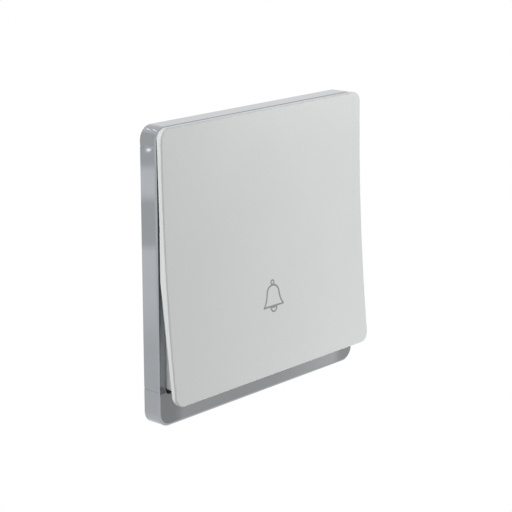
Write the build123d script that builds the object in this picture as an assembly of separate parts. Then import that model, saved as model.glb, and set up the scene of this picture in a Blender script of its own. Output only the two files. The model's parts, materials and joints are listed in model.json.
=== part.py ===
from build123d import *
import os
from math import cos, radians, sin, tan

# Wall doorbell switch: a square frame with one broad rocker plate that works a sprung contact.
# Millimetres. X runs to the right, Y into the wall, Z up. The origin lies on the wall's face,
# midway between the two fixing screws, so everything in front of the wall has a negative Y.

# Front frame
frame_size = 86.0
frame_depth = 6.0
frame_corner = 4.0
frame_wall = 1.8
frame_face = 1.8
frame_edge = 0.4
side_margin = 2.6
top_margin = 3.2
chin_height = 9.7
opening_corner = 1.5
collar_wall = 1.2
seam_width = 0.5
seam_depth = 0.2
seam_rise = 1.3
seam_drop = 2.25

# Support plate behind the frame, with the two fixing slots
support_thickness = 1.0
support_corner = 4.0
support_edge_gap = 0.5
screw_spacing = 60.3
slot_width = 4.2
slot_length = 7.0

# Catches that hold the frame on the support plate
catch_spacing = 40.0
catch_width = 8.0
catch_lap = 1.6
catch_gap = 0.2
hook_arm = 1.3
hook_room = 1.2
tab_step = 1.1
tab_width = 12.0
tab_length = 3.4

# Rocker plate
plate_inset = 0.1
plate_height = 78.4
plate_corner = 4.3
plate_gap = 0.9
plate_top_gap = 0.4
plate_top_edge = 1.73
plate_rise = 4.7
plate_edge = 0.45
press_angle = 7.0
skirt_gap = 0.7
skirt_wall = 1.2
skirt_floor_gap = 0.3

# Pivot: moulded trunnions that turn in the cover's ears
pivot_standoff = 4.4
trunnion_radius = 1.0
running_clearance = 0.05
ear_radius = 2.0
ear_thickness = 2.6
ear_gap = 0.3

# Actuator that carries the plate
actuator_width = 32.8
actuator_thickness = 1.8
actuator_edge = 2.0
clip_spacing = 22.0
clip_width = 4.0
clip_height = 9.0
clip_arm = 1.2
clip_barb = 0.6
clip_tip = 0.8
clip_clearance = 0.2
stop_width = 4.0
stop_length = 3.0
stop_height = 13.0
stop_spacing = 14.0
stop_gap = 0.15

# Rear housing
box_width = 44.0
box_height = 46.0
box_depth = 18.0
box_corner = 2.0
box_edge = 0.8
box_wall = 2.4
box_floor = 1.6
flange_lip = 2.0
flange_thickness = 1.2
window_clearance = 0.2
barb_width = 12.0
barb_height = 0.7
barb_length = 1.6

# Housing cover
cover_thickness = 1.2
cover_recess = 0.2
cover_rabbet = 1.2
cover_clearance = 0.15

# Cover screws
boss_radius = 2.4
boss_inset = 2.2
screw_radius = 1.0
screw_head_radius = 2.1
screw_head_height = 1.3
screw_length = 8.0
screw_tip_gap = 0.5
screw_clearance = 0.05
screw_hole_clearance = 0.25
drive_width = 0.7
drive_depth = 0.6

# Terminals
cage_size = 8.0
cage_edge = 0.6
cage_gap = 1.6
cage_seat_gap = 0.15
wire_radius = 1.7
wire_entry_clearance = 0.4
clamp_radius = 1.5
clamp_head_radius = 2.7
clamp_head_height = 1.8

# Contacts
strip_thickness = 0.8
strip_width = 6.0
blade_thickness = 0.4
blade_width = 6.0
blade_bend = 1.0
blade_root = 7.0
blade_top = 15.0
blade_slope = 6.5
blade_end_gap = 2.0
contact_radius = 1.6
contact_height = 1.0
contact_stem = 0.8
contact_gap = 1.3
rivet_head_radius = 1.6
rivet_head_height = 0.6

# Push finger and return spring
finger_width = 5.0
finger_thickness = 2.0
finger_gap = 0.4
finger_clearance = 0.6
finger_lip = 0.25
spring_height = 8.0
spring_radius = 2.2
spring_wire = 0.5
spring_turns = 3.5
spring_sides = 6
spring_end_gap = 0.1
spring_inset = 0.4
well_wall = 0.8
well_clearance = 0.45
well_floor = 0.8
well_gap = 1.2
spigot_length = 1.2

# Places worked out from the sizes above
half_frame = frame_size / 2
frame_front = -frame_depth
frame_inner = half_frame - frame_wall
opening_half = half_frame - side_margin
opening_top = half_frame - top_margin
opening_bottom = chin_height - half_frame
pivot_y = -pivot_standoff
plate_back = frame_front - plate_gap
plate_top = half_frame - plate_inset
plate_bottom = plate_top - plate_height
half_plate = half_frame - plate_inset
skirt_half = opening_half - skirt_gap
skirt_top = opening_top - skirt_gap
skirt_bottom = opening_bottom + skirt_gap
skirt_floor = -tab_step - skirt_floor_gap
support_half = skirt_half - skirt_wall - support_edge_gap
support_top = skirt_top - skirt_wall - support_edge_gap
support_bottom = catch_gap + hook_arm + hook_room - frame_inner
flange_front = -support_thickness - flange_thickness
cover_front = flange_front + cover_recess
cover_back = cover_front + cover_thickness
box_inner_half = box_width / 2 - box_wall
box_inner_low = box_wall - box_height / 2
floor_y = box_depth - box_floor
strip_back = floor_y - cage_size
strip_front = strip_back - strip_thickness
blade_back = strip_front - contact_gap - 2 * contact_height
blade_front = blade_back - blade_thickness
cage_x = box_inner_half - cage_gap - cage_size / 2
clamp_y = strip_back + cage_size / 2
cage_bottom = box_inner_low + cage_seat_gap
cage_top = cage_bottom + cage_size
wire_z = cage_top - cage_gap - wire_radius
finger_height = -wire_z
actuator_reach = finger_height + finger_thickness / 2 + finger_lip
blade_bottom = box_inner_low + blade_end_gap
boss_x = box_inner_half - boss_inset
boss_z = -box_inner_low - boss_inset
half_actuator = actuator_width / 2
actuator_back = plate_back + actuator_thickness
rib_thickness = cage_gap - cage_seat_gap
pad_half = strip_width / 2 + rib_thickness
press = radians(press_angle)
pivot = Axis((0, pivot_y, 0), (1, 0, 0))


# A plane parallel to the wall: sketch x is X, sketch y is Z, and it extrudes towards the room.
def wall_plane(y):
    return Plane(origin=(0, y, 0), x_dir=(1, 0, 0), z_dir=(0, -1, 0))


# A sketch made solid between two distances from the wall, the nearer to the wall first.
def slab(sketch, y_back, y_front):
    return extrude(wall_plane(y_back) * sketch, amount=y_back - y_front)


# A rectangle between two corners, with rounded corners where a radius is given.
def panel(x_low, x_high, z_low, z_high, corner=0.0):
    centre = Pos((x_low + x_high) / 2, (z_low + z_high) / 2)
    width = x_high - x_low
    height = z_high - z_low
    if corner > 0:
        return centre * RectangleRounded(width, height, corner)
    return centre * Rectangle(width, height)


# A side profile of (y, z) points made solid over a width centred on x.
def side_profile(points, x, width):
    outline = make_face(Polyline(*points, close=True))
    return Pos(x, 0, 0) * extrude(Plane.YZ * outline, amount=width / 2, both=True)


# A round bar that runs away from the wall between two distances.
def stud(x, z, radius, y_back, y_front):
    return slab(Pos(x, z) * Circle(radius), y_back, y_front)


# The same feature on the rocker's lower half, which stands out by the press angle at rest.
def lower_half(feature):
    return mirror(feature, about=Plane.XY).rotate(pivot, -press_angle)


# Y of a plane of the lower half at rest, for a face that is parallel to the wall when pressed.
def lower_face(y, z):
    return pivot_y + (y - pivot_y) / cos(press) + z * tan(press)


def make_front_frame():
    outline = RectangleRounded(frame_size, frame_size, frame_corner)
    hollow = RectangleRounded(2 * frame_inner, 2 * frame_inner, frame_corner - frame_wall)
    opening = panel(-opening_half, opening_half, opening_bottom, opening_top, opening_corner)
    frame = slab(outline, 0, frame_front)
    frame = chamfer(frame.faces().sort_by(Axis.Y)[0].edges(), frame_edge)
    frame -= slab(hollow, 0, frame_front + frame_face)
    frame -= slab(opening, 0, frame_front)
    # Fine seam lines across both sides, near the opening's ends
    for side in (-1, 1):
        edge = sorted((side * half_frame, side * (half_frame - seam_depth)))
        for z in (opening_bottom + seam_rise, opening_top - seam_drop):
            frame -= slab(panel(*edge, z - seam_width / 2, z + seam_width / 2), 0, frame_front)
    # Wall along the chin's edge, which stands on the support plate
    collar = panel(-frame_inner, frame_inner, opening_bottom - collar_wall, opening_bottom)
    frame += slab(collar, -support_thickness, frame_front + frame_face)
    for side in (-1, 1):
        frame += make_frame_catches(side * catch_spacing / 2)
    return frame


# A flat tongue at the top and a snap hook in the chin, both behind the support plate's tabs
def make_frame_catches(x):
    low = support_top - catch_lap
    flat = panel(x - catch_width / 2, x + catch_width / 2, low, frame_inner)
    tongue = slab(flat, -catch_gap, -tab_step)
    arm_top = support_bottom - catch_gap
    root = frame_front + frame_face
    hook = [
        (root, arm_top),
        (-tab_step, arm_top),
        (-tab_step, support_bottom + catch_lap),
        (-catch_gap, arm_top),
        (-catch_gap, arm_top - hook_arm),
        (root, arm_top - hook_arm),
    ]
    return tongue + side_profile(hook, x, catch_width)


def make_support_plate():
    sheet = slab(panel(-support_half, support_half, support_bottom, support_top, support_corner),
                 0, -support_thickness)
    # Four tabs stepped forward, for the frame's tongues and hooks to reach behind
    for x in (-catch_spacing / 2, catch_spacing / 2):
        for edge, inward in ((support_top, -1), (support_bottom, 1)):
            root = edge + inward * tab_length
            ends = sorted((edge, root))
            strip = panel(x - tab_width / 2, x + tab_width / 2, *ends)
            sheet -= slab(strip, 0, -support_thickness)
            step = tab_step + support_thickness
            tab = [
                (0, root + inward * support_thickness),
                (0, root),
                (-tab_step, root - inward * tab_step),
                (-tab_step, edge),
                (-step, edge),
                (-step, root - inward * tab_step),
                (-support_thickness, root),
                (-support_thickness, root + inward * support_thickness),
            ]
            sheet += side_profile(tab, x, tab_width)
    window = panel(-box_width / 2 - window_clearance, box_width / 2 + window_clearance,
                   -box_height / 2 - window_clearance, box_height / 2 + window_clearance, box_corner)
    sheet -= slab(window, 0, -support_thickness)
    for x in (-screw_spacing / 2, screw_spacing / 2):
        sheet -= slab(Pos(x, 0) * SlotOverall(slot_length, slot_width), 0, -support_thickness)
    return sheet


def make_rocker_plate():
    # The back is flat on the actuator, leans to the frame above it and folds out below the pivot
    back_top = frame_front - plate_top_gap
    front_top = back_top - plate_top_edge
    fold_z = (pivot_y - plate_back) * tan(press / 2)
    back_bottom = lower_face(plate_back, plate_bottom)
    front_bottom = front_top - plate_rise
    rim = Polyline(
        (front_bottom, plate_bottom),
        (back_bottom, plate_bottom),
        (plate_back, fold_z),
        (plate_back, actuator_reach),
        (back_top, plate_top),
        (front_top, plate_top),
    )
    sail = TangentArc((front_top, plate_top), (front_bottom, plate_bottom), tangent=(0, -1))
    plate = extrude(Plane.YZ * make_face(rim + sail), amount=half_plate, both=True)
    outline = panel(-half_plate, half_plate, plate_bottom, plate_top, plate_corner)
    plate &= slab(outline, 0, 2 * front_bottom)
    face = plate.faces().filter_by(GeomType.CYLINDER).sort_by(SortBy.AREA)[-1]
    plate = fillet(face.edges(), plate_edge)
    plate += make_skirt(back_bottom, fold_z)
    for x in (-clip_spacing / 2, clip_spacing / 2):
        clip = make_clip(x)
        plate += clip
        plate += lower_half(clip)
    return plate


# Skirt round the plate's back, which stays in the frame's opening over the whole travel
def make_skirt(back_bottom, fold_z):
    outer = panel(-skirt_half, skirt_half, skirt_bottom, skirt_top, opening_corner)
    inner = panel(skirt_wall - skirt_half, skirt_half - skirt_wall, skirt_bottom + skirt_wall,
                  skirt_top - skirt_wall, opening_corner)
    pressed_low = pivot_y + (skirt_floor - pivot_y) * cos(press) + skirt_bottom * sin(press)
    slope = (skirt_floor - pressed_low) / (skirt_top - skirt_bottom)
    room = [
        (skirt_floor + slope * (plate_top - skirt_top), plate_top),
        (plate_back - plate_top_edge / 2, plate_top),
        (plate_back - plate_top_edge / 2, fold_z),
        (back_bottom - plate_top_edge / 2, plate_bottom),
        (pressed_low + slope * (plate_bottom - skirt_bottom), plate_bottom),
    ]
    return slab(outer - inner, 0, 2 * back_bottom) & side_profile(room, 0, frame_size)


# Snap clip that passes through the actuator and catches behind it
def make_clip(x):
    tip = actuator_back + clip_tip
    clip = [
        (plate_back - plate_top_edge / 2, clip_height),
        (tip, clip_height),
        (tip, clip_height + clip_arm),
        (actuator_back, clip_height + clip_arm + clip_barb),
        (actuator_back, clip_height + clip_arm),
        (plate_back - plate_top_edge / 2, clip_height + clip_arm),
    ]
    return side_profile(clip, x, clip_width)


def make_actuator():
    wing = slab(panel(-half_actuator, half_actuator, 0, actuator_reach), actuator_back, plate_back)
    wing = fillet(wing.edges().filter_by(Axis.Y).group_by(Axis.Z)[-1], actuator_edge)
    for x in (-clip_spacing / 2, clip_spacing / 2):
        gap = panel(x - clip_width / 2 - clip_clearance, x + clip_width / 2 + clip_clearance,
                    clip_height - clip_clearance, clip_height + clip_arm + clip_clearance)
        wing -= slab(gap, actuator_back, plate_back)
    hub = Pos(0, pivot_y, 0) * (Rot(0, 90, 0) * Cylinder(ear_radius, actuator_width))
    trunnion_length = actuator_width + 2 * (ear_gap + ear_thickness)
    trunnions = Pos(0, pivot_y, 0) * (Rot(0, 90, 0) * Cylinder(trunnion_radius, trunnion_length))
    spigot_radius = spring_radius - spring_wire / 2 - spring_inset
    spigot = stud(0, spring_height, spigot_radius, actuator_back + spigot_length, actuator_back)
    finger = slab(panel(-finger_width / 2, finger_width / 2, finger_height - finger_thickness / 2,
                        finger_height + finger_thickness / 2), finger_tip_pressed(), actuator_back)
    return wing + lower_half(wing) + hub + trunnions + lower_half(spigot + finger)


# Y of the finger's tip with the rocker fully pressed, from its small gap to the blade at rest
def finger_tip_pressed():
    rest = blade_front - finger_gap
    return pivot_y + (rest - pivot_y + finger_height * sin(press)) / cos(press)


def make_mechanism_base():
    outer = panel(-box_width / 2, box_width / 2, -box_height / 2, box_height / 2, box_corner)
    lip_width = box_width / 2 + flange_lip
    lip_height = box_height / 2 + flange_lip
    base = slab(outer, box_depth, -support_thickness)
    base = chamfer(base.faces().sort_by(Axis.Y)[-1].edges(), box_edge)
    base += slab(panel(-lip_width, lip_width, -lip_height, lip_height, box_corner + flange_lip),
                 -support_thickness, flange_front)
    # Barbs that snap behind the support plate
    for side in (-1, 1):
        wall = side * box_height / 2
        barb = [(0, wall - side * box_wall / 2), (0, wall + side * barb_height), (barb_length, wall),
                (barb_length, wall - side * box_wall / 2)]
        base += side_profile(barb, 0, barb_width)
    hollow = panel(-box_inner_half, box_inner_half, box_inner_low, -box_inner_low)
    base -= slab(hollow, floor_y, flange_front)
    mouth = panel(-box_inner_half - cover_rabbet, box_inner_half + cover_rabbet,
                  box_inner_low - cover_rabbet, cover_rabbet - box_inner_low)
    base -= slab(mouth, cover_back, flange_front)
    base += make_contact_pads()
    for x in (-cage_x, cage_x):
        base += make_cage_ribs(x)
        base -= stud(x, wire_z, wire_radius + wire_entry_clearance, box_depth, floor_y)
        driver = Pos(x, clamp_y, -box_height / 2)
        reach = 2 * (box_wall + cage_seat_gap)
        base -= driver * Cylinder(clamp_head_radius + wire_entry_clearance, reach)
    for x in (-boss_x, boss_x):
        pilot = stud(x, boss_z, screw_radius + screw_clearance, cover_back + screw_length, cover_back)
        base += stud(x, boss_z, boss_radius, floor_y, cover_back)
        base -= pilot
    return base


# Pads that carry the two contact strips, with room behind for the rivet and contact stems
def make_contact_pads():
    top_pad = panel(-pad_half, pad_half, blade_top - blade_root, blade_top)
    low_pad = panel(-pad_half, pad_half, wire_z - strip_width / 2, wire_z + strip_width / 2)
    pads = slab(top_pad + low_pad, floor_y, strip_back)
    tail = strip_back + rivet_head_height + screw_hole_clearance
    pads -= stud(0, rivet_z(), rivet_head_radius + screw_hole_clearance, tail, strip_back)
    return pads


# Two ribs that hold a terminal cage from its sides
def make_cage_ribs(x):
    ribs = Part()
    for side in (-1, 1):
        near = x + side * (cage_size / 2 + cage_seat_gap)
        far = near + side * rib_thickness
        rib = panel(*sorted((near, far)), box_inner_low, wire_z)
        ribs += slab(rib, floor_y, clamp_y)
    return ribs


def make_mechanism_cover():
    half_width = box_inner_half + cover_rabbet - cover_clearance
    half_height = -box_inner_low + cover_rabbet - cover_clearance
    cover = slab(panel(-half_width, half_width, -half_height, half_height), cover_back, cover_front)
    # Spring well that hangs from the cover's back
    well_radius = spring_radius + spring_wire / 2 + well_clearance
    well_back = blade_front - well_gap
    cover += stud(0, -spring_height, well_radius + well_wall, well_back, cover_front)
    cover -= stud(0, -spring_height, well_radius, well_back - well_floor, cover_front)
    # Slot for the push finger
    swing = (cover_back - pivot_y) * sin(press)
    slot = panel(-finger_width / 2 - finger_clearance, finger_width / 2 + finger_clearance,
                 -finger_height - finger_thickness / 2 - swing - finger_clearance,
                 -(finger_height - finger_thickness / 2) * cos(press) + finger_clearance)
    cover -= slab(slot, cover_back, cover_front)
    for side in (-1, 1):
        cover += make_ear(side * (half_actuator + ear_gap + ear_thickness / 2))
        cover -= stud(side * boss_x, boss_z, screw_radius + screw_hole_clearance, cover_back, cover_front)
        x = side * stop_spacing / 2
        for z in (-stop_height, stop_height):
            stop = panel(x - stop_width / 2, x + stop_width / 2, z - stop_length / 2, z + stop_length / 2)
            cover += slab(stop, cover_front, actuator_back + stop_gap)
    return cover


# Pivot ear with a round top and a running bore for the trunnion
def make_ear(x):
    stem = make_face(Polyline((cover_front, -ear_radius), (pivot_y, -ear_radius),
                              (pivot_y, ear_radius), (cover_front, ear_radius), close=True))
    outline = stem + Pos(pivot_y, 0) * Circle(ear_radius)
    outline -= Pos(pivot_y, 0) * Circle(trunnion_radius + running_clearance)
    return Pos(x, 0, 0) * extrude(Plane.YZ * outline, amount=ear_thickness / 2, both=True)


# Cheese-headed screw along +Y with a straight drive slot, its head's underside at the origin
def make_screw(radius, length, head_radius, head_height):
    head = Pos(0, -head_height / 2, 0) * (Rot(90, 0, 0) * Cylinder(head_radius, head_height))
    drive = Pos(0, drive_depth / 2 - head_height, 0) * Box(2 * head_radius, drive_depth, drive_width)
    return head - drive + Pos(0, length / 2, 0) * (Rot(90, 0, 0) * Cylinder(radius, length))


def make_cover_screws():
    length = cover_thickness + screw_length - screw_tip_gap
    screw = make_screw(screw_radius, length, screw_head_radius, screw_head_height)
    return [Pos(x, cover_front, boss_z) * screw for x in (-boss_x, boss_x)]


def make_terminal_screws():
    depth = wire_z - wire_radius - cage_bottom
    screw = make_screw(clamp_radius, depth, clamp_head_radius, clamp_head_height)
    upright = Rot(90, 0, 0) * screw
    return [Pos(x, clamp_y, cage_bottom) * upright for x in (-cage_x, cage_x)]


# Brass block with a wire bore from the rear and a clamp screw from below
def make_terminal_cage(x):
    cage = slab(panel(x - cage_size / 2, x + cage_size / 2, cage_bottom, cage_top), floor_y, strip_back)
    cage = chamfer(cage.edges().filter_by(Axis.Y), cage_edge)
    cage -= stud(x, wire_z, wire_radius, floor_y, strip_back)
    tapped = Pos(x, clamp_y, (cage_bottom + wire_z) / 2)
    return cage - tapped * Cylinder(clamp_radius + screw_clearance, wire_z - cage_bottom)


def rivet_z():
    return blade_top - blade_root / 2


# Angled strip from the left terminal up to the blade's root
def make_blade_strip():
    leg = panel(-cage_x - strip_width / 2, -cage_x + strip_width / 2, cage_bottom, blade_top)
    foot = panel(-cage_x - strip_width / 2, strip_width / 2, blade_top - blade_root, blade_top)
    strip = slab(leg + foot, strip_back, strip_front)
    return strip - stud(0, rivet_z(), contact_stem + screw_clearance, strip_back, strip_front)


# Straight strip from the right terminal to the fixed contact
def make_fixed_strip():
    low = wire_z - strip_width / 2
    strip = slab(panel(-strip_width / 2, cage_x + strip_width / 2, low, low + strip_width),
                 strip_back, strip_front)
    return strip - stud(0, wire_z, contact_stem + screw_clearance, strip_back, strip_front)


# Leaf spring: its root lies on the strip, and its long free end stands forward of it
def make_contact_blade():
    bend_top = blade_top - blade_root
    route = FilletPolyline(
        (strip_front, blade_top),
        (strip_front, bend_top),
        (blade_back, bend_top - blade_slope),
        (blade_back, blade_bottom),
        radius=blade_bend,
    )
    blade = make_brake_formed(blade_thickness, blade_width, Plane.YZ * route, side=Side.RIGHT)
    blade = Pos(-blade.center(CenterOf.BOUNDING_BOX).X, 0, 0) * blade
    for z in (rivet_z(), wire_z):
        blade -= stud(0, z, contact_stem + screw_clearance, strip_front, blade_front)
    return blade


# Button contact with a stem, its flat side on a strip
def make_contact(z, y_seat, outward, stem):
    head = Pos(0, 0, contact_height / 2) * Cylinder(contact_radius, contact_height)
    pin = Pos(0, 0, -stem / 2) * Cylinder(contact_stem, stem)
    return Pos(0, y_seat, z) * (Rot(90 * outward, 0, 0) * (head + pin))


def make_blade_rivet():
    y_head = strip_front - blade_thickness
    rivet = stud(0, rivet_z(), rivet_head_radius, y_head, y_head - rivet_head_height)
    rivet += stud(0, rivet_z(), contact_stem, strip_back, y_head)
    return rivet + stud(0, rivet_z(), rivet_head_radius, strip_back + rivet_head_height, strip_back)


def make_return_spring():
    seat = blade_front - well_gap - well_floor - spring_end_gap
    outer = spring_radius + spring_wire / 2
    crest = lower_face(actuator_back, outer - spring_height) + spring_end_gap
    start = seat - spring_wire / 2
    height = start - crest - spring_wire / 2
    coil = Helix(height / spring_turns, height, spring_radius, center=(0, start, -spring_height),
                 direction=(0, -1, 0))
    wire = Plane(coil @ 0, z_dir=coil % 0) * RegularPolygon(spring_wire / 2, spring_sides)
    return sweep(wire, path=coil, is_frenet=True)


nodes = {
    "front_frame": make_front_frame(),
    "rocker_plate": make_rocker_plate(),
    "support_plate": make_support_plate(),
    "mechanism_base": make_mechanism_base(),
    "mechanism_cover": make_mechanism_cover(),
    "actuator": make_actuator(),
    "return_spring": make_return_spring(),
    "contact_blade": make_contact_blade(),
    "moving_contact": make_contact(wire_z, blade_back, -1, blade_thickness),
    "fixed_contact": make_contact(wire_z, strip_front, 1, strip_thickness),
    "blade_strip": make_blade_strip(),
    "fixed_strip": make_fixed_strip(),
    "blade_rivet": make_blade_rivet(),
    "terminal_cage_left": make_terminal_cage(-cage_x),
    "terminal_cage_right": make_terminal_cage(cage_x),
    "terminal_screws": Compound(make_terminal_screws()),
    "cover_screws": Compound(make_cover_screws()),
}

os.makedirs("parts", exist_ok=True)
for name, solid in nodes.items():
    export_step(solid, f"parts/{name}.step")
print(f"{len(nodes)} nodes written")
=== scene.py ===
# %% [markdown]
# # A wall doorbell switch
# The object is a bell push for a standard wall box: a slim silver frame, 86 mm square, and one broad
# plate that rocks when its lower half is pressed. The pieces that fit and move were built as solids
# before, and this lesson starts from them. It models the visible mouldings again with Blender's own
# tools, gives every piece a finish, and ends with a small studio and a camera.

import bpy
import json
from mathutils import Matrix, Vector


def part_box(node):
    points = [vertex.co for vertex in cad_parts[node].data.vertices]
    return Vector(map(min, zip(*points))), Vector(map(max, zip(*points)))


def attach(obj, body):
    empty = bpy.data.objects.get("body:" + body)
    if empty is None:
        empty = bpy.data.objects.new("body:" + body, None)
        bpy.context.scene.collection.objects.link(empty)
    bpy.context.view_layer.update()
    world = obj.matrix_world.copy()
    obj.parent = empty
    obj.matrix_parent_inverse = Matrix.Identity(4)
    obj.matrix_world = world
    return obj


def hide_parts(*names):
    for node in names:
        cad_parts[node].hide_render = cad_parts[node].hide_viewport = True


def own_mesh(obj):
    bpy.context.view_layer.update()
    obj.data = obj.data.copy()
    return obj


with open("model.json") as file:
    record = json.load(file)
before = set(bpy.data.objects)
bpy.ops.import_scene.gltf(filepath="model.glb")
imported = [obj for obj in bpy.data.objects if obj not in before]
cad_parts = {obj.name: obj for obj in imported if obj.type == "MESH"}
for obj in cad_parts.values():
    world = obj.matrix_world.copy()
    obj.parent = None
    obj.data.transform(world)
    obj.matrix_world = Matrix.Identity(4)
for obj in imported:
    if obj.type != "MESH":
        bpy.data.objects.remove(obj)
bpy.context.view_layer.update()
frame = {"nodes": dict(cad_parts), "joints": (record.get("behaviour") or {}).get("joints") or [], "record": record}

# %% [markdown]
# Blender works in metres, and a switch is small, so sizes are written in millimetres times `mm`. Two
# points closer together than `touch` count as one. What the solids already say, such as the frame's
# outside, the plate's outside and the pivot, is read from them. X runs to the right, Y into the wall and
# Z up, so the room lies on the side of negative Y.

# %% Units and sizes that the solids give
import json
from math import atan, cos, radians, sin, sqrt, tan

import bmesh
import bpy
from mathutils import Vector

mm = 0.001
touch = 0.002 * mm
frame_low, frame_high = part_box("front_frame")
plate_low, plate_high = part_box("rocker_plate")
hinge = frame["joints"][0]
pivot_y = hinge["pos_m"][1]
press = radians(hinge["range_deg"][1])
print("frame", [round(side / mm, 2) for side in frame_high - frame_low], "mm")

# %% [markdown]
# Modelling by hand means: select something, then run a tool on it. The first helpers do the selecting:
# `pick` finds points, edges or faces by a test on their place or their normal.

# %% Helpers for selecting
def same(first, second):
    """True for two places along an axis that count as one."""
    return abs(first - second) < touch


def pick(test, kind="EDGE"):
    """Selects, in edit mode, all the points, edges or faces that pass the test."""
    bpy.ops.mesh.select_mode(type=kind)
    bpy.ops.mesh.select_all(action="DESELECT")
    mesh = bmesh.from_edit_mesh(bpy.context.edit_object.data)
    parts = {"VERT": mesh.verts, "EDGE": mesh.edges, "FACE": mesh.faces}[kind]
    chosen = [part for part in parts if test(part)]
    for part in chosen:
        part.select_set(True)
    bmesh.update_edit_mesh(bpy.context.edit_object.data)
    return len(chosen)


def on_level(y):
    """A test for edges that lie in one plane parallel to the wall."""
    return lambda edge: all(same(point.co.y, y) for point in edge.verts)


# %% [markdown]
# A piece begins as an empty mesh in edit mode, where primitives are added and shaped, and ends with its
# doubled points merged and its faces turned outwards. Overlapping boxes that a boolean will join keep
# their points apart, because merging would weld one box to the next.

# %% Helpers for starting and ending a piece
def begin(name):
    """Starts an empty mesh in edit mode."""
    bpy.ops.object.select_all(action="DESELECT")
    bpy.ops.object.add(type="MESH", enter_editmode=True)
    bpy.context.object.name = name
    return bpy.context.object


def end(merge=True):
    """Merges doubled points unless told not to, turns all faces outwards and leaves edit mode."""
    bpy.ops.mesh.select_all(action="SELECT")
    if merge:
        bpy.ops.mesh.remove_doubles(threshold=touch)
    bpy.ops.mesh.normals_make_consistent(inside=False)
    bpy.ops.object.mode_set(mode="OBJECT")


def activate(piece):
    """Makes one object the only selected one."""
    bpy.ops.object.select_all(action="DESELECT")
    piece.select_set(True)
    bpy.context.view_layer.objects.active = piece


def reopen(piece):
    """Opens a piece in edit mode again."""
    activate(piece)
    bpy.ops.object.mode_set(mode="EDIT")


# %% [markdown]
# The mouldings are made of rounded rectangles. A plane is turned to face the room, stretched to its size,
# and its four corner points are bevelled into arcs, which keeps the same number of points on every
# outline. Two such outlines can then be bridged with clean four-sided faces, however different their
# sizes are.

# %% Outlines, tubes and blocks
corner_steps = 8


def inside(rectangle, margin):
    """The rectangle with each of its sides moved in by a margin."""
    x_low, x_high, z_low, z_high = rectangle
    return x_low + margin, x_high - margin, z_low + margin, z_high - margin


def outline(rectangle, corner, y):
    """Adds a rounded rectangle that faces the room, and leaves it selected."""
    x_low, x_high, z_low, z_high = rectangle
    centre = ((x_low + x_high) / 2, y, (z_low + z_high) / 2)
    bpy.ops.mesh.primitive_plane_add(size=1, location=centre, rotation=(radians(90), 0, 0))
    bpy.ops.transform.resize(value=(x_high - x_low, 1, z_high - z_low), center_override=centre)
    bpy.ops.mesh.bevel(offset=corner, segments=corner_steps, affect="VERTICES")


def tube(rectangle, corner, y_start, y_end):
    """Adds the wall over a rounded rectangle, with a cap left at its start."""
    outline(rectangle, corner, y_start)
    bpy.ops.mesh.extrude_edges_move(TRANSFORM_OT_translate={"value": (0, y_end - y_start, 0)})


def open_tubes():
    """Deletes the caps, which are the only faces with more than four sides."""
    pick(lambda face: len(face.verts) > 4, "FACE")
    bpy.ops.mesh.delete(type="ONLY_FACE")


def bridge_level(y):
    """Bridges the two outlines that lie at one distance from the wall."""
    pick(on_level(y))
    bpy.ops.mesh.bridge_edge_loops()


def block(low, high):
    """Adds a box between two corners, and leaves it selected."""
    low, high = Vector(low), Vector(high)
    centre = (low + high) / 2
    bpy.ops.mesh.primitive_cube_add(size=1, location=centre)
    bpy.ops.transform.resize(value=high - low, center_override=centre)


# %% [markdown]
# Two finishing steps are shared by all pieces. A boolean joins or cuts whole bodies, as glue or a mill
# would. Smooth shading by angle then rounds the arcs to the eye, and weighted normals keep the flat faces
# flat right up to their bevels, which matters most on glossy mouldings.

# %% Joining and polishing
gentle = radians(35)


def combine(piece, tool, operation):
    """Joins a tool to the piece or cuts it away, and removes the tool."""
    activate(piece)
    step = piece.modifiers.new("combine", "BOOLEAN")
    step.operation = operation
    step.object = tool
    step.solver = "EXACT"
    step.use_self = True
    bpy.ops.object.modifier_apply(modifier=step.name)
    bpy.data.objects.remove(tool)


def polish(piece, angle=gentle):
    """Shades the piece smooth across gentle edges."""
    activate(piece)
    bpy.ops.object.shade_smooth_by_angle(angle=angle)
    step = piece.modifiers.new("weights", "WEIGHTED_NORMAL")
    step.keep_sharp = True
    bpy.ops.object.modifier_apply(modifier=step.name)
    mesh = piece.data
    print(piece.name, len(mesh.vertices), "points", len(mesh.polygons), "faces")


# %% [markdown]
# ## The silver frame
# The frame is one thin moulding: an outer wall, a front face with the plate's opening near its top, and a
# broad chin below. Cutting it from a box would also work, but three open tubes, bridged at the wall, at
# the front and behind the face, give the same shell with no stray edges across its glossy sides.

# %% Frame shell
frame_corner = 4.0 * mm
frame_wall = 1.8 * mm
opening_corner = 1.5 * mm
side_margin = 2.6 * mm
top_margin = 3.2 * mm
chin_height = 9.7 * mm
frame_front = frame_low.y
face_back = frame_front + frame_wall
frame_rim = (frame_low.x, frame_high.x, frame_low.z, frame_high.z)
hollow = inside(frame_rim, frame_wall)
opening = (frame_low.x + side_margin, frame_high.x - side_margin,
           frame_low.z + chin_height, frame_high.z - top_margin)

silver_frame = begin("silver_frame")
tube(frame_rim, frame_corner, 0, frame_front)
tube(hollow, frame_corner - frame_wall, face_back, 0)
tube(opening, opening_corner, frame_front, face_back)
open_tubes()
for level in (0, frame_front, face_back):
    bridge_level(level)
end()
print("frame shell", len(silver_frame.data.polygons), "faces")

# %% [markdown]
# A real moulding has no sharp edges, and on a glossy one each edge draws a thin line of light. A Bevel
# modifier would round every edge by the same width. Here the outer front edge gets a broad round and the
# opening a narrow one, so each is picked by its place: both lie in the front plane, only the outer edges
# reach past the opening, and only the opening's edges bound an upright wall after that.

# %% Frame edges
frame_edge = 0.7 * mm
edge_steps = 5
opening_edge = 0.2 * mm
opening_edge_steps = 3
upright = 0.5
is_front = on_level(frame_front)


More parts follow.
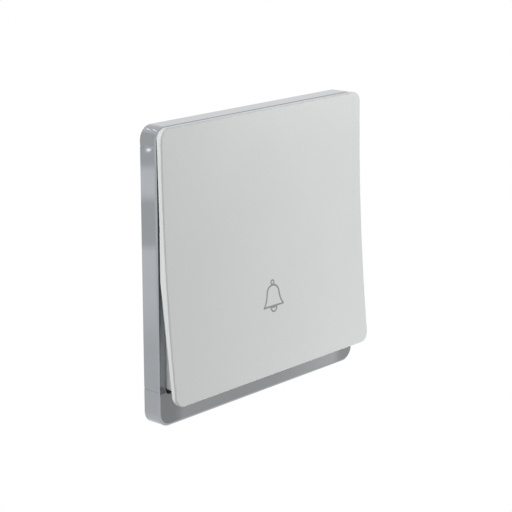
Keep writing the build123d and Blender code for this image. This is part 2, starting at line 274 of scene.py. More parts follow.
def is_outer(edge):
    """True for front edges outside the opening's rectangle."""
    reach = opening[1] + frame_edge
    return is_front(edge) and all(max(abs(point.co.x), abs(point.co.z)) > reach for point in edge.verts)


def is_opening(edge):
    """True for the opening's own front edges, which bound its wall."""
    return is_front(edge) and any(abs(face.normal.y) < upright for face in edge.link_faces)


reopen(silver_frame)
outer_count = pick(is_outer)
bpy.ops.mesh.bevel(offset=frame_edge, segments=edge_steps, affect="EDGES")
opening_count = pick(is_opening)
bpy.ops.mesh.bevel(offset=opening_edge, segments=opening_edge_steps, affect="EDGES")
end()
print(outer_count, "outer edges and", opening_count, "opening edges rounded")

# %% [markdown]
# Behind the face sits what holds the frame: a wall along the chin, two flat tongues at the top and two
# snap hooks in the chin, which reach behind the support plate. They could be extruded from the shell, but
# its faces have no edges in the right places. So each is a box that sinks a little into the shell, and a
# boolean joins them. A hook gets its slanted barb by sliding one edge of a second box down to the arm.

# %% Frame catches
support_low, support_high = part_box("support_plate")
support_thickness = 1.0 * mm
collar_wall = 1.2 * mm
tab_step = 1.1 * mm
catch_gap = 0.2 * mm
catch_width = 8.0 * mm
catch_spacing = 40.0 * mm
catch_lap = 1.6 * mm
hook_arm = 1.3 * mm
sink = 0.3 * mm
arm_top = support_low.z - catch_gap
barb_top = support_low.z + catch_lap

catches = begin("catches")
block((hollow[0] - sink, face_back - sink, opening[2] - collar_wall),
      (hollow[1] + sink, -support_thickness, opening[2]))
for x in (-catch_spacing / 2, catch_spacing / 2):
    left, right = x - catch_width / 2, x + catch_width / 2
    block((left, -tab_step, support_high.z - catch_lap), (right, -catch_gap, hollow[3] + sink))
    block((left, face_back - sink, arm_top - hook_arm), (right, -catch_gap, arm_top))
    block((left, -tab_step, arm_top - sink), (right, -catch_gap, barb_top))
    pick(lambda point: same(point.co.z, barb_top) and same(point.co.y, -catch_gap)
         and left - touch < point.co.x < right + touch, "VERT")
    bpy.ops.transform.translate(value=(0, 0, arm_top - barb_top))
end(merge=False)
print("catches", len(catches.data.polygons), "faces")
combine(silver_frame, catches, "UNION")

# %% [markdown]
# Across each side run two faint seams, near the ends of the opening. A dark line in the finish could show
# them too, but a groove also catches the light from other sides. Four thin boxes cut them. Then the frame
# is polished, set to ride on the housing, and shown in place of its solid.

# %% Frame seams
seam_width = 0.5 * mm
seam_depth = 0.12 * mm
seam_over_chin = 1.3 * mm
seam_under_top = 2.25 * mm

seams = begin("seams")
for x in (frame_low.x, frame_high.x):
    for z in (opening[2] + seam_over_chin, opening[3] - seam_under_top):
        block((x - seam_depth, frame_front - sink, z - seam_width / 2),
              (x + seam_depth, sink, z + seam_width / 2))
end()
combine(silver_frame, seams, "DIFFERENCE")
polish(silver_frame)
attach(silver_frame, "housing")
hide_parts("front_frame")

# %% [markdown]
# ## The rocker plate
# The plate is shaped like a sail. Seen from the side its front follows one large arc, which starts
# parallel to the wall at the top and stands out at the bottom. Its back is flat on the carrier that it is
# clipped to, leans to the frame above it, and folds out below the pivot, so that the lower half lies flat
# when pressed. These curves are plain functions of the height.

# %% Plate curves
plate_gap = 0.9 * mm
plate_top_gap = 0.25 * mm
plate_top_edge = 1.88 * mm
plate_rise = 4.7 * mm
plate_back = frame_front - plate_gap
plate_top_back = frame_front - plate_top_gap
plate_front = plate_top_back - plate_top_edge
plate_height = plate_high.z - plate_low.z
sail_radius = (plate_height**2 + plate_rise**2) / (2 * plate_rise)
fold_z = (pivot_y - plate_back) * tan(press / 2)
carrier_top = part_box("actuator")[1].z


def sail(z):
    """Y of the plate's front at a height."""
    return plate_front - sail_radius + sqrt(sail_radius**2 - (plate_high.z - z)**2)


def lower_face(y, z):
    """Y, at a height, of a face of the lower half that lies level at y when the switch is pressed."""
    return pivot_y + (y - pivot_y) / cos(press) + z * tan(press)


def back(z):
    """Y of the plate's back at a height."""
    if z > carrier_top:
        share = (z - carrier_top) / (plate_high.z - carrier_top)
        return plate_back + (plate_top_back - plate_back) * share
    return plate_back if z > fold_z else lower_face(plate_back, z)


print("sail radius", round(sail_radius / mm), "mm,",
      "bottom stands out", round(-sail(plate_low.z) / mm, 2), "mm")

# %% [markdown]
# A lattice could bend a flat plate, but only roughly. Level cuts across the mesh and a slide of each row
# along Y give the exact curves. The bottom and the top of an outline are rows too, so nothing is left
# behind.

# %% Helpers for rows
def cut_rows(heights):
    """Cuts level edges across the whole mesh."""
    for z in heights:
        bpy.ops.mesh.select_all(action="SELECT")
        bpy.ops.mesh.bisect(plane_co=(0, 0, z), plane_no=(0, 0, 1))


def shape_rows(belongs, target):
    """Slides each row of the points that belong to a surface to its own Y."""
    mesh = bmesh.from_edit_mesh(bpy.context.edit_object.data)
    rows = {}
    for point in mesh.verts:
        if belongs(point):
            rows.setdefault(round(point.co.z / touch), point.co.copy())
    for place in rows.values():
        pick(lambda point: belongs(point) and same(point.co.z, place.z), "VERT")
        bpy.ops.transform.translate(value=(0, target(place.z) - place.y, 0))
    return len(rows)


# %% [markdown]
# The body starts as one outline, cut into rows. More rows are cut at the fold and at the carrier's top,
# where the back changes its course. Extruding the outline gives a flat slab with a front, a back and
# sides, and sliding the rows of both faces turns it into the sail.

# %% Plate body
plate_corner = 3.2 * mm
row_count = 28
plate_rim = (plate_low.x, plate_high.x, plate_low.z, plate_high.z)

plate_face = begin("plate_face")
outline(plate_rim, plate_corner, plate_back)
cut_rows([plate_low.z + plate_height * row / row_count for row in range(1, row_count)])
cut_rows([fold_z, carrier_top])
bpy.ops.mesh.select_all(action="SELECT")
bpy.ops.mesh.extrude_region_move(TRANSFORM_OT_translate={"value": (0, plate_front - plate_back, 0)})
front_rows = shape_rows(lambda point: same(point.co.y, plate_front), sail)
back_rows = shape_rows(lambda point: same(point.co.y, plate_back), back)
end()
print("plate body", front_rows, "rows in front,", back_rows, "behind")

# %% [markdown]
# A thumb meets the front edge, so it is rounded all the way round, and the back edge is only broken.
# Their places follow the curves, so both are found by their faces instead: such an edge joins a face that
# looks to the room, or to the wall, with one of the plate's sides.

# %% Plate edges
plate_edge = 0.45 * mm
back_edge = 0.12 * mm
back_edge_steps = 2
facing = 0.9
sideways = 0.3
to_room, to_wall = -1, 1


def rim_of(side):
    """A test for edges between a face that looks to the room or the wall and a side of the plate."""
    def test(edge):
        tilts = [face.normal.y for face in edge.link_faces]
        return any(tilt * side > facing for tilt in tilts) and any(abs(tilt) < sideways for tilt in tilts)
    return test


reopen(plate_face)
front_count = pick(rim_of(to_room))
bpy.ops.mesh.bevel(offset=plate_edge, segments=edge_steps, affect="EDGES")
back_count = pick(rim_of(to_wall))
bpy.ops.mesh.bevel(offset=back_edge, segments=back_edge_steps, affect="EDGES")
end()
print(front_count, "front edges rounded,", back_count, "back edges broken")

# %% [markdown]
# Behind the plate a skirt runs round inside the frame's opening and closes the view into the housing. It
# is two tubes, bridged at both ends and then slid in rows: its front follows the plate, and its rear
# slopes so that it clears the support plate when the switch is pressed. It is rooted half-way into the
# plate's thin top, so that a boolean can join the two bodies.

# %% Plate skirt
skirt_gap = 0.7 * mm
skirt_wall = 1.2 * mm
skirt_clearance = 0.3 * mm
root = plate_top_edge / 2
skirt_rim = inside(opening, skirt_gap)
skirt_inner = inside(skirt_rim, skirt_wall)
skirt_low, skirt_top = skirt_rim[2:]
skirt_front = plate_back - root
skirt_floor = -tab_step - skirt_clearance
floor_low = pivot_y + (skirt_floor - pivot_y) * cos(press) + skirt_low * sin(press)


def skirt_rear(z):
    """Y of the skirt's rear edge, which slopes from the top to the bottom."""
    return skirt_floor + (floor_low - skirt_floor) * (skirt_top - z) / (skirt_top - skirt_low)


skirt = begin("skirt")
tube(skirt_rim, opening_corner, skirt_floor, skirt_front)
tube(skirt_inner, opening_corner, skirt_front, skirt_floor)
open_tubes()
bridge_level(skirt_floor)
bridge_level(skirt_front)
cut_rows([fold_z])
shape_rows(lambda point: same(point.co.y, skirt_front) and point.co.z < fold_z, lambda z: back(z) - root)
shape_rows(lambda point: same(point.co.y, skirt_floor) and point.co.z < skirt_top, skirt_rear)
end()
print("skirt", len(skirt.data.polygons), "faces")
combine(plate_face, skirt, "UNION")

# %% [markdown]
# Four snap clips stand behind the plate and catch behind the carrier that turns with it. The two upper
# ones are boxes with a slanted barb. The lower two are copies, mirrored over the pivot's level and turned
# by the press angle, as the lower half of the plate is.

# %% Plate clips
clip_spacing = 22.0 * mm
clip_width = 4.0 * mm
clip_height = 9.0 * mm
clip_arm = 1.2 * mm
clip_barb = 0.6 * mm
clip_tip = 0.8 * mm
carrier_thickness = 1.8 * mm
carrier_back = plate_back + carrier_thickness
clip_end = carrier_back + clip_tip
clip_top = clip_height + clip_arm

clips = begin("clips")
for x in (-clip_spacing / 2, clip_spacing / 2):
    left, right = x - clip_width / 2, x + clip_width / 2
    block((left, skirt_front, clip_height), (right, clip_end, clip_top))
    block((left, carrier_back, clip_height + sink), (right, clip_end, clip_top + clip_barb))
    pick(lambda point: point.co.z > clip_top + touch and point.co.y > carrier_back + touch
         and left - touch < point.co.x < right + touch, "VERT")
    bpy.ops.transform.translate(value=(0, 0, -clip_barb))
bpy.ops.mesh.select_all(action="SELECT")
bpy.ops.mesh.duplicate()
bpy.ops.transform.resize(value=(1, 1, -1), center_override=(0, 0, 0))
bpy.ops.transform.rotate(value=press, orient_axis="X", center_override=(0, pivot_y, 0))
end(merge=False)
print("clips reach", round(max(point.co.y for point in clips.data.vertices) / mm, 2), "mm")
combine(plate_face, clips, "UNION")
polish(plate_face)
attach(plate_face, "rocker")
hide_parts("rocker_plate")

# %% [markdown]
# ## The bell sign
# A small bell in outline is printed on the lower half. It could be cut from a flat sheet, but a curve
# with a round bevel keeps one line width everywhere. Each line is a row of points with two handles, in
# millimetres over the middle of the bell's rim, and the curves become tubes of mesh.

# %% Bell curves
line_width = 0.62 * mm
line_steps = 2
bell_points = (
    ((0.0, 6.25), (-1.45, 6.25), (1.45, 6.25)),
    ((2.6, 4.0), (2.4, 5.4), (2.8, 2.7)),
    ((4.35, 0.0), (3.2, 0.9), (4.35, 0.0)),
    ((-4.35, 0.0), (-4.35, 0.0), (-3.2, 0.9)),
    ((-2.6, 4.0), (-2.8, 2.7), (-2.4, 5.4)),
)
loop_points = (
    ((0.0, 7.75), (-0.36, 7.75), (0.36, 7.75)),
    ((0.65, 7.1), (0.65, 7.46), (0.65, 6.74)),
    ((0.0, 6.45), (0.36, 6.45), (-0.36, 6.45)),
    ((-0.65, 7.1), (-0.65, 6.74), (-0.65, 7.46)),
)
clapper_points = (
    ((-1.3, -0.35), (-1.3, -0.35), (-1.3, -1.0)),
    ((0.0, -1.7), (-0.6, -1.7), (0.6, -1.7)),
    ((1.3, -0.35), (1.3, -1.0), (1.3, -0.35)),
)


def draw(curve, points):
    """Adds one closed line of the sign, from points and their two handles in millimetres."""
    line = curve.splines.new("BEZIER")
    line.bezier_points.add(len(points) - 1)
    line.use_cyclic_u = True
    for knot, (place, before, after) in zip(line.bezier_points, points):
        knot.co, knot.handle_left, knot.handle_right = (
            (x * mm, 0, z * mm) for x, z in (place, before, after)
        )


drawing = bpy.data.curves.new("bell_sign", "CURVE")
drawing.dimensions = "3D"
drawing.bevel_depth = line_width / 2
drawing.bevel_resolution = line_steps
for points in (bell_points, loop_points, clapper_points):
    draw(drawing, points)
bell_sign = bpy.data.objects.new("bell_sign", drawing)
bpy.context.collection.objects.link(bell_sign)
activate(bell_sign)
bpy.ops.object.convert(target="MESH")
bpy.ops.object.mode_set(mode="EDIT")
end()
bell_sign = bpy.context.object
print("bell sign", len(bell_sign.data.polygons), "faces")

# %% [markdown]
# Print lies on a surface as a thin film. A Shrinkwrap modifier could press the lines onto the plate, but
# over so short a height the arc is nearly flat. So the tubes are pressed flat, tilted to the arc's slope
# at the bell's waist, and laid on the plate with half of their thickness sunk in.

# %% Lay the bell on the plate
bell_x = 0.2 * mm
bell_z = -15.25 * mm
bell_waist = bell_z + 3.0 * mm
ink = 0.08 * mm
drop = plate_high.z - bell_waist
lean = atan(drop / sqrt(sail_radius**2 - drop**2))
bell_y = sail(bell_waist) + (bell_z - bell_waist) * tan(lean)

bell_sign.scale = (1, ink / line_width, 1)
bpy.ops.object.transform_apply(scale=True)
bell_sign.rotation_euler = (-lean, 0, 0)
bell_sign.location = (bell_x, bell_y, bell_z)
bpy.ops.object.transform_apply(location=True, rotation=True)
polish(bell_sign)
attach(bell_sign, "rocker")
print("bell sign on a lean of", round(lean, 4))

# %% [markdown]
# ## Pieces behind the plate
# The sheet that is screwed to the wall, the housing, its contacts and its screws have their true form as
# solids already. A solid comes as loose flat triangles, though, so each one is copied, its points are
# merged and its flat triangles are joined into whole faces. A narrow bevel along the sharp edges then
# stands for the small rounds that a press, a mould or a lathe leaves.

# %% Helpers for copies of the solids
body_of = {node: body for body, nodes in frame["record"]["behaviour"]["bodies"].items() for node in nodes}
slot_of = {part["node"]: part["material_slot"] for part in frame["record"]["subparts"]}
sharp = radians(40)
flat = radians(0.5)
rear_pieces = {}


def copy_solid(node, label):
    """Opens a merged copy of a solid in edit mode."""
    piece = bpy.data.objects.new(label, frame["nodes"][node].data.copy())
    bpy.context.collection.objects.link(piece)
    reopen(piece)
    bpy.ops.mesh.select_all(action="SELECT")
    bpy.ops.mesh.remove_doubles(threshold=touch)
    bpy.ops.mesh.dissolve_limited(angle_limit=flat)
    return piece


def break_edges(width, where=lambda edge: True, steps=2):
    """Bevels the sharp outer edges that pass a test."""
    count = pick(lambda edge: edge.is_convex and edge.calc_face_angle(0) > sharp and where(edge))
    bpy.ops.mesh.bevel(offset=width, segments=steps, affect="EDGES", clamp_overlap=True)
    return count


def stand_for(piece, node):
    """Ends a piece, shows it in place of a solid on the same body, and keeps it for a finish later."""
    end()
    polish(piece, sharp)
    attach(piece, body_of[node])
    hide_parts(node)
    rear_pieces[node] = piece


# %% [markdown]
# Each piece gets a name of its own and edges broken by a width that suits how it is made: thin rolled
# strip has the sharpest edges, and thick punched sheet the softest. One table says it all, and one loop
# works through it.

# %% Copies of the solids
rear_edges = {
    "support_plate": ("steel_support", 0.1 * mm),
    "mechanism_cover": ("front_cover", 0.08 * mm),
    "actuator": ("plate_carrier", 0.08 * mm),
    "contact_blade": ("bronze_blade", 0.03 * mm),
    "moving_contact": ("blade_contact", 0.05 * mm),
    "fixed_contact": ("strip_contact", 0.05 * mm),
    "blade_strip": ("blade_lead", 0.05 * mm),
    "fixed_strip": ("fixed_lead", 0.05 * mm),
    "blade_rivet": ("lead_rivet", 0.05 * mm),
    "terminal_cage_left": ("left_clamp", 0.08 * mm),
    "terminal_cage_right": ("right_clamp", 0.08 * mm),
    "terminal_screws": ("clamp_screws", 0.06 * mm),
    "cover_screws": ("housing_screws", 0.06 * mm),
}
for node, (label, width) in rear_edges.items():
    piece = copy_solid(node, label)
    print(label, break_edges(width), "edges broken")
    stand_for(piece, node)

# %% [markdown]
# The rear housing is a deep moulded box, and the rim of its rear face is the edge that shows most. One
# width for all its edges would leave that rim too hard or close the bores, so the rim gets a larger round
# of its own, and the mouths of the bores and the other edges are only broken.

# %% Rear housing
rim_round = 0.6 * mm
rim_steps = 4
rim_room = 5.0 * mm
mouth = 0.08 * mm
housing_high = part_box("mechanism_base")[1]


def at_rim(edge):
    """True for the outline of the housing's rear face, far from its bores."""
    return on_level(housing_high.y)(edge) and all(
        max(abs(point.co.x) - housing_high.x, abs(point.co.z) - housing_high.z) > -rim_room
        for point in edge.verts)


rear_housing = copy_solid("mechanism_base", "rear_housing")
print(break_edges(rim_round, at_rim, rim_steps), "rim edges rounded,", break_edges(mouth), "others broken")
stand_for(rear_housing, "mechanism_base")

# %% [markdown]
# The return spring is one length of round wire, wound on a mandrel. A bevelled curve could follow the
# helix, but the Screw modifier winds as the real tool does: it carries the wire's round section about an
# axis and along it. The spring stops just short of the carrier's sloping lower back. The two cut ends are
# then filled.

# %% Return spring
wire_width = 0.5 * mm
wire_sides = 12
turns = 3.5
turn_steps = 24
spring_radius = 2.2 * mm
spring_room = 0.1 * mm
spring_low, spring_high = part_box("return_spring")
spring_axis = (spring_low.z + spring_high.z) / 2
spring_top = spring_axis + spring_radius + wire_width / 2
spring_start = spring_high.y - wire_width / 2
spring_end = lower_face(carrier_back, spring_top) + spring_room + wire_width / 2

spring_wire = begin("spring_wire")
bpy.ops.mesh.primitive_circle_add(
    vertices=wire_sides, radius=wire_width / 2, location=(0, spring_start, -spring_radius),
    rotation=(0, radians(90), 0))
bpy.ops.object.mode_set(mode="OBJECT")
winding = spring_wire.modifiers.new("winding", "SCREW")
winding.axis = "Y"
winding.angle = -turns * radians(360)
winding.screw_offset = spring_end - spring_start
winding.steps = winding.render_steps = round(turns * turn_steps)
bpy.ops.object.modifier_apply(modifier=winding.name)
spring_wire.location.z = spring_axis
bpy.ops.object.transform_apply(location=True)
bpy.ops.object.mode_set(mode="EDIT")
bpy.ops.mesh.select_all(action="SELECT")
bpy.ops.mesh.fill_holes(sides=wire_sides)
stand_for(spring_wire, "return_spring")
print("spring", [round(side / mm, 2) for side in spring_high - spring_low], "mm")

# %% [markdown]
# Three of these pieces are springy. A press shortens the coil to the room that the carrier leaves it, and
# pushes the blade and its contact towards the wall until the two contacts meet. Here each of them only
# gets a mesh of its own, and the share of its depth that it keeps is worked out and printed. The share
# of the round contact is reckoned towards a point far away, where a squeeze comes close to a plain shift.

# %% Springy pieces
far_off = 50 * mm
blade_low, blade_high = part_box("contact_blade")
button_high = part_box("moving_contact")[1]
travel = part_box("fixed_contact")[0].y - button_high.y


def give_way(node, keep):
    """Gives a piece a mesh of its own and prints the share of its depth that it keeps when pressed."""
    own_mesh(rear_pieces[node])
    print(node, "keeps", round(keep, 3), "of its depth")


give_way("return_spring",
         (spring_high.y - carrier_back - spring_room) / (spring_high.y - spring_low.y))
give_way("contact_blade", 1 - travel / (blade_high.y - blade_low.y))
give_way("moving_contact", 1 - travel / far_off)

# %% [markdown]
# ## Finishes
# Every material is made of nodes. Placing them by hand in the node editor is quick for one material, but
# sums are easier to read as sums. So one small class wraps a socket and turns +, - and * into Math nodes.

# %% Shader sums
class Wire:
    """One number on its way through a material."""

    def __init__(self, finish, socket):
        self.finish = finish
        self.socket = socket

    def sum(self, operation, first, second):
        """Adds one Math node."""
        return self.finish.node("ShaderNodeMath", {"operation": operation}, {0: first, 1: second})

    def __add__(self, other):
        return self.sum("ADD", self, other)

    def __sub__(self, other):
        return self.sum("SUBTRACT", self, other)

    def __rsub__(self, other):
        return self.sum("SUBTRACT", other, self)

    def __mul__(self, other):
        return self.sum("MULTIPLY", self, other)

    __radd__ = __add__
    __rmul__ = __mul__


# %% [markdown]
# All other nodes come from one method of a second class, which sets a node up, feeds its sockets and
# returns one of its outputs. Noise, colour mixes and the closing shader build on it. The patterns read
# the point of the piece itself, so they stay in place when the switch is pressed.

# %% Shader nodes
class Finish:
    """A procedural material, built node by node."""

    def __init__(self, name, tree=None):
        if tree is None:
            self.material = bpy.data.materials.new(name)
            self.material.use_nodes = True
            tree = self.material.node_tree
        self.tree = tree
        self.tree.nodes.clear()

    def node(self, kind, settings=None, sockets=None, output=0):
        """Adds a node, sets it up, feeds its sockets and returns one of its outputs."""
        made = self.tree.nodes.new(kind)
        for name, value in (settings or {}).items():
            if name == "stops":
                ramp = made.color_ramp.elements
                while len(ramp) < len(value):
                    ramp.new(0.5)
                for stop, (place, colour) in zip(ramp, value):
                    stop.position = place
                    stop.color = colour
            else:
                setattr(made, name, value)
        for name, value in (sockets or {}).items():
            if isinstance(value, Wire):
                self.tree.links.new(value.socket, made.inputs[name])
            else:
                made.inputs[name].default_value = value
        return Wire(self, made.outputs[output]) if made.outputs else made

    def place(self):
        """The point of the piece, in metres."""
        return self.node("ShaderNodeTexCoord", output="Object")

    def noise(self, size, detail=2.0, where=None):
        """Soft noise from 0 to 1, with spots of about that size."""
        sockets = {"Vector": where or self.place(), "Scale": 1 / size, "Detail": detail}
        return self.node("ShaderNodeTexNoise", {"noise_dimensions": "3D"}, sockets, "Fac")

    def mix(self, mask, dark, light):
        """A colour between two, by a mask."""
        return self.node("ShaderNodeMix", {"data_type": "RGBA"}, {0: mask, 6: dark, 7: light}, 2)

    def surface(self, bump=None, bump_height=0.0, **sockets):
        """Ends the material with one shader, and a bump where a height is given."""
        values = {}
        for name, value in sockets.items():
            values[name.replace("_", " ").title().replace("Ior", "IOR")] = value
        if bump is not None:
            values["Normal"] = self.node("ShaderNodeBump", None, {"Height": bump, "Distance": bump_height})
        shader = self.node("ShaderNodeBsdfPrincipled", None, values)
        self.node("ShaderNodeOutputMaterial", None, {"Surface": shader})
        print(self.material.name, len(self.tree.nodes), "nodes")
        return self.material


# %% [markdown]
# Colours are easiest to judge as they look on screen, on a scale to 255. A shader wants them linear, so
# one helper undoes the screen's curve.

# %% Colours
def shade(red, green, blue):
    """A colour as it looks on screen, from 0 to 255, made linear."""
    parts = [value / 255 for value in (red, green, blue)]
    return (*[part / 12.92 if part <= 0.04045 else ((part + 0.055) / 1.055)**2.4 for part in parts], 1.0)


# %% [markdown]
# The frame is moulded and then sprayed with a silver lacquer. Fine metal flake makes it sparkle a little,
# and a clear coat over it gives crisp reflections. One even grey would look like plastic film, so the
# flake is a very small noise in the colour, and a broad noise changes the gloss by a trace.

# %% Silver lacquer
def silver_lacquer():
    """Metal flake under a thin clear coat."""
    finish = Finish("silver_lacquer")
    flake = finish.noise(0.12 * mm, detail=1.0)
    cloud = finish.noise(14 * mm)
    colour = finish.mix(flake * 0.6 + cloud * 0.4, shade(150, 153, 157), shade(172, 175, 179))
    ripple = finish.noise(2.5 * mm, detail=1.0)
    return finish.surface(
        bump=ripple, bump_height=0.002 * mm, base_color=colour, metallic=0.95,
        roughness=cloud * 0.03 + 0.03, coat_weight=0.15, coat_roughness=0.03)


silver_frame.data.materials.append(silver_lacquer())

# %% [markdown]
# The plate has a satin paint in a pale cool grey. One even colour would look dead, so a broad noise
# shifts it by a trace, as spraying does. The grain is far too fine to see from a step away, and only
# softens the gloss.

# %% Satin paint
def satin_paint():
    """Sprayed paint with a fine grain."""
    finish = Finish("satin_paint")
    grain = finish.noise(0.25 * mm)
    cloud = finish.noise(22 * mm)
    colour = finish.mix(cloud * 0.7 + grain * 0.3, shade(195, 198, 197), shade(201, 204, 203))
    return finish.surface(
        bump=grain, bump_height=0.003 * mm, base_color=colour,
        roughness=grain * 0.08 + 0.46, specular_ior_level=0.35)


plate_face.data.materials.append(satin_paint())

# %% [markdown]
# The sign is printed in a mid grey ink, a little duller than the paint. A fine speck in its colour and
# gloss keeps the thin lines from looking like cut plastic.

# %% Sign ink
def sign_ink():
    """Flat grey print with a fine speck."""
    finish = Finish("sign_ink")
    speck = finish.noise(0.15 * mm)
    colour = finish.mix(speck, shade(126, 129, 131), shade(142, 145, 147))
    return finish.surface(base_color=colour, roughness=speck * 0.2 + 0.45)


bell_sign.data.materials.append(sign_ink())

# %% [markdown]
# The support plate is galvanised sheet, whose zinc shows as pale and dark crystals: the cells of a
# Voronoi pattern. The housings are matt mouldings with a fine eroded grain. Springs, strips and screws
# are bare metals, each with its own colour and the faint streaks of drawing or rolling, which are noise
# stretched along one direction.

# %% Metals and mouldings
def galvanised_sheet():
    """Zinc crystals under a slight haze."""
    finish = Finish("galvanised_sheet")
    sockets = {"Vector": finish.place(), "Scale": 1 / (5 * mm)}
    crystal = finish.node("ShaderNodeTexVoronoi", {"feature": "F1"}, sockets, "Color")
    grain = finish.node("ShaderNodeRGBToBW", None, {"Color": crystal})
    haze = finish.noise(0.6 * mm, detail=3.0)
    colour = finish.mix(grain * 0.7 + haze * 0.3, shade(168, 172, 176), shade(206, 209, 212))
    return finish.surface(
        bump=haze, bump_height=0.01 * mm, base_color=colour, metallic=0.9, roughness=grain * 0.2 + 0.3)


def moulding(name, dark, light, roughness, grain_size):
    """Matt plastic with an eroded grain."""
    finish = Finish(name)
    grain = finish.noise(grain_size, detail=3.0)
    cloud = finish.noise(15 * mm)
    colour = finish.mix(grain * 0.5 + cloud * 0.5, dark, light)
    return finish.surface(
        bump=grain, bump_height=0.02 * mm, base_color=colour, roughness=grain * 0.15 + roughness)


def bare_metal(name, dark, light, roughness, streak):
    """Metal with streaks along the directions that have a small scale."""
    finish = Finish(name)
    stretched = finish.node("ShaderNodeMapping", None, {"Vector": finish.place(), "Scale": streak})
    line = finish.noise(0.3 * mm, detail=3.0, where=stretched)
    colour = finish.mix(line, dark, light)
    return finish.surface(
        bump=line, bump_height=0.004 * mm, base_color=colour, metallic=1.0,
        roughness=line * 0.15 + roughness)


# %% [markdown]
# The record names a finish for every solid. One table makes each of them once, and the pieces behind the
# plate take theirs from it.

# %% Finishes behind the plate
finishes = {
    "support_steel": galvanised_sheet(),
    "housing_plastic": moulding("housing_moulding", shade(52, 53, 55), shade(66, 67, 69), 0.5, 0.3 * mm),
    "cover_plastic": moulding("cover_moulding", shade(206, 207, 204), shade(218, 219, 216), 0.45, 0.3 * mm),
    "actuator_plastic": moulding(
        "carrier_moulding", shade(212, 211, 206), shade(224, 223, 218), 0.35, 0.4 * mm),
    "spring_steel": bare_metal("drawn_wire", shade(170, 171, 174), shade(196, 197, 200), 0.2, (1, 1, 0.1)),
    "bronze": bare_metal("spring_bronze", shade(188, 146, 98), shade(210, 170, 120), 0.25, (1, 1, 0.05)),
    "silver": bare_metal("contact_silver", shade(222, 220, 214), shade(236, 234, 228), 0.2, (1, 1, 1)),
    "brass": bare_metal("stamped_brass", shade(196, 164, 96), shade(220, 190, 122), 0.25, (0.1, 1, 1)),
    "screw_steel": bare_metal("zinc_plate", shade(186, 188, 190), shade(210, 212, 214), 0.25, (1, 1, 1)),
}
for node, piece in rear_pieces.items():
    piece.data.materials.clear()
    piece.data.materials.append(finishes[slot_of[node]])
print(len(finishes), "finishes on", len(rear_pieces), "pieces behind the plate")

# %% [markdown]
# ## Studio
# The product stands before plain white, in soft light. More light would whiten the background, but it
# would also bleach the switch. So the floor and the world are asked what kind of ray meets them: the
# camera and the reflections see white, and all other rays see a plain surface that catches light and
# shadow.

# %% White backdrop
def white_backdrop(finish, other):
    """A shader that is plain white to the camera and in reflections, and another one for the rest."""
    seen = finish.node("ShaderNodeLightPath", output="Is Camera Ray")
    mirrored = finish.node("ShaderNodeLightPath", output="Is Glossy Ray")
    passed = finish.node("ShaderNodeLightPath", output="Is Transmission Ray")
    rest = 1 - (seen + mirrored + passed)
    white = finish.node("ShaderNodeEmission", None, {"Color": (1, 1, 1, 1), "Strength": 1.0})
    return finish.node("ShaderNodeMixShader", None, {0: rest, 1: white, 2: other})


# %% [markdown]
# The floor is one large plane that lies well below the switch, since the switch hangs on a wall. The
# world closes the room above it and gives the even part of the light.

# %% Floor and world
floor_size = 6
floor_drop = 0.6
room_light = 0.47

bpy.ops.object.select_all(action="DESELECT")
bpy.ops.mesh.primitive_plane_add(size=floor_size, location=(0, 0, frame_low.z - floor_drop))
floor = bpy.context.object
floor.name = "floor"
paper = Finish("floor_paper")
matt = paper.node("ShaderNodeBsdfDiffuse", None, {"Color": shade(236, 236, 236)})
paper.node("ShaderNodeOutputMaterial", None, {"Surface": white_backdrop(paper, matt)})
floor.data.materials.append(paper.material)

room = bpy.data.worlds.new("studio")
room.use_nodes = True
bpy.context.scene.world = room
air = Finish("studio", room.node_tree)
soft = air.node("ShaderNodeBackground", None, {"Color": (1, 1, 1, 1), "Strength": room_light})
air.node("ShaderNodeOutputWorld", None, {"Surface": white_backdrop(air, soft)})
print("floor", floor_drop, "m below the frame")

# %% [markdown]
# Soft boxes do the rest. The key stands in front on the right, low down, and shades the plate from right
# to left. Two boxes on the left and one behind brighten its edge, which is lit more than its face, and a
# narrow one lifts the top. They are hidden from reflections, because the lacquer would mirror them as
# bright squares.

# %% Lamps
soft_box = 0.15
lamps = (
    ("key", (0.14, -0.2, -0.1), 0.42),
    ("side", (-0.4, 0.14, 0.1), 0.3),
    ("fill", (-0.4, -0.12, 0.05), 0.25),
    ("rear", (-0.15, 0.3, 0.1), 1.45),
)


def lamp(name, place, aim, width, height, watts):
    """A soft box that looks at a point."""
    light = bpy.data.lights.new(name, "AREA")
    light.shape = "RECTANGLE"
    light.size, light.size_y = width, height
    light.energy = watts
    box = bpy.data.objects.new(name, light)
    bpy.context.collection.objects.link(box)
    box.location = place
    box.rotation_euler = (Vector(aim) - Vector(place)).to_track_quat("-Z", "Y").to_euler()
    box.visible_glossy = False
    print("lamp", name, watts, "W")


for name, place, watts in lamps:
    lamp(name, place, (0, 0, 0), soft_box, soft_box, watts)
lamp("top", place=(0.03, -0.06, 0.1), aim=(0.03, 0, 0.04), width=0.14, height=0.02, watts=0.04)

# %% [markdown]
# A glossy moulding shows its surroundings more than its colour, so a studio hangs grey cards where only
# the reflections see them. One card stands behind the left side and draws the level bands on it. Another
# one stands in front on the right, below the lens, and grades the chin from its dark end to its light
# one. A ramp holds the levels along a card, where 1 is as bright as the white room.

# %% Reflection cards
brightest = 4.0
plain = (1, 1, 1)
warm = (1, 0.99, 0.96)
side_bands = ((0.129, 0.92), (0.189, 1.11), (0.251, 1.13), (0.259, 0.82), (0.309, 0.82), (0.319, 1.16),
              (0.347, 1.16), (0.356, 0.8))
chin_tones = ((0.212, 0.65), (0.221, 0.97), (0.40, 0.76), (0.61, 0.68), (0.795, 0.735), (0.815, 0.5))


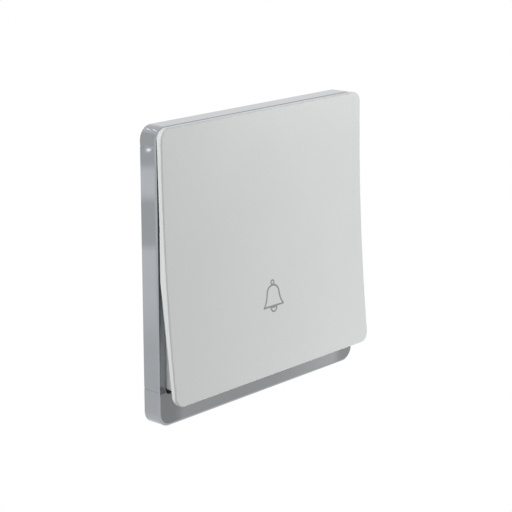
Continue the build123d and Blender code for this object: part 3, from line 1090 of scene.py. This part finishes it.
def card(name, centre, aim, width, height, along, stops, tint=plain):
    """A sheet that looks at a point and shows only in reflections, with levels of a tint along it."""
    turn = (Vector(aim) - Vector(centre)).to_track_quat("Z", "Y").to_euler()
    bpy.ops.object.select_all(action="DESELECT")
    bpy.ops.mesh.primitive_plane_add(size=1, location=centre, rotation=turn)
    sheet = bpy.context.object
    sheet.name = name
    sheet.scale = (width, height, 1)
    sheet.visible_camera = sheet.visible_diffuse = sheet.visible_shadow = sheet.visible_transmission = False
    finish = Finish(name)
    share = finish.node("ShaderNodeSeparateXYZ", None, {"Vector": finish.place()}, along) + 0.5
    ramp = [(place, (*[level * part / brightest for part in tint], 1)) for place, level in stops]
    tone = finish.node("ShaderNodeValToRGB", {"stops": ramp}, {"Fac": share})
    glow = finish.node("ShaderNodeEmission", None, {"Color": tone, "Strength": brightest})
    finish.node("ShaderNodeOutputMaterial", None, {"Surface": glow})
    sheet.data.materials.append(finish.material)
    print(name, len(stops), "levels")


card("side_card", centre=(-0.2019, 0.1589, 0.0365), aim=(0, 0, 0.0365),
     width=0.12, height=0.35, along="Y", stops=side_bands)
card("chin_card", centre=(0.1804, -0.1664, -0.122), aim=(0, 0, -0.122),
     width=0.12, height=0.09, along="X", stops=chin_tones, tint=warm)

# %% [markdown]
# Small bright lamps leave white dots on the frame's glossy upper left corner. Lamps that small would also
# light the plate, so two tiny bright cards make the dots: one draws a row of glints on the corner's
# round, and one sits below the upper seam.

# %% Glints
glint_edge = 0.001
dim = 0.8
seam_level = 3.0
corner_glints = []
for middle, half, level in ((0.27, 0.029, 2.6), (0.5, 0.03, 4.0), (0.82, 0.03, 4.0)):
    corner_glints += [(middle - half - glint_edge, dim), (middle - half, level),
                      (middle + half, level), (middle + half + glint_edge, dim)]
card("glint_card", centre=(-0.0471, 0.0817, 0.1274), aim=(-0.0416, -0.0023, 0.042),
     width=0.024, height=0.009, along="Y", stops=corner_glints)
card("seam_glint", centre=(-0.1256, 0.0802, 0.0134), aim=(-0.043, -0.0037, 0.0367),
     width=0.0013, height=0.0009, along="X", stops=((0.0, seam_level), (1.0, seam_level)))

# %% [markdown]
# ## Camera
# The view is from the left and a little above. It could be set by eye, but the frame is a square of known
# size, so the direction, distance and lens were worked out from its edges.

# %% Camera
view_turn = radians(-48.158)
view_rise = radians(14.846)
view_back = Vector((sin(view_turn) * cos(view_rise), -cos(view_turn) * cos(view_rise), sin(view_rise)))
camera = bpy.data.objects.new("camera", bpy.data.cameras.new("camera"))
bpy.context.collection.objects.link(camera)
camera.location = Vector((-360.706, -326.823, 127.029)) * mm
camera.rotation_euler = view_back.to_track_quat("Z", "Y").to_euler()
camera.data.lens = 119.608
camera.data.sensor_width = 36
camera.data.clip_start = 0.01
bpy.context.scene.camera = camera
bpy.context.scene.view_settings.view_transform = "Standard"
print("camera", round(camera.location.length, 3), "m away")
